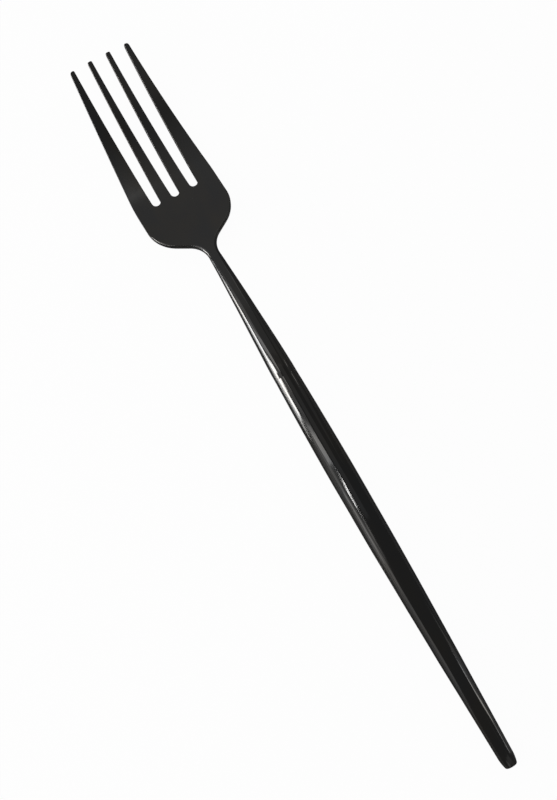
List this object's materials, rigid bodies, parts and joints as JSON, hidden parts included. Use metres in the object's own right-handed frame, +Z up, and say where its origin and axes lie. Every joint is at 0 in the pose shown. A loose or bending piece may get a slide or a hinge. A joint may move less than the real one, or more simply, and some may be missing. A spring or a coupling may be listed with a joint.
{
  "type": "dinner fork",
  "caption": "Slim black dinner fork with long tapered tines, a shallow bowl, a narrow flaring neck and a thin round handle that tapers to a blunt butt.",
  "frame": {"origin": "bottom centre of the fork's box, on the table, as it lies tines up", "axes": "+Y from the butt to the tips, +X across the head, +Z up from the table"},
  "size_m": [0.0242, 0.2148, 0.0121],
  "materials": {
    "head_coat": "satin black coating on stainless steel",
    "tang_steel": "bare turned steel",
    "epoxy": "cured amber epoxy",
    "handle_coat": "polished black coating on turned steel",
    "plug_coat": "polished black coating on steel"
  },
  "bodies": {
    "root": {"fork_head": "head_coat", "tang_rod": "tang_steel", "tang_adhesive": "epoxy", "handle_grip": "handle_coat", "butt_plug": "plug_coat"}
  },
  "joints": []
}
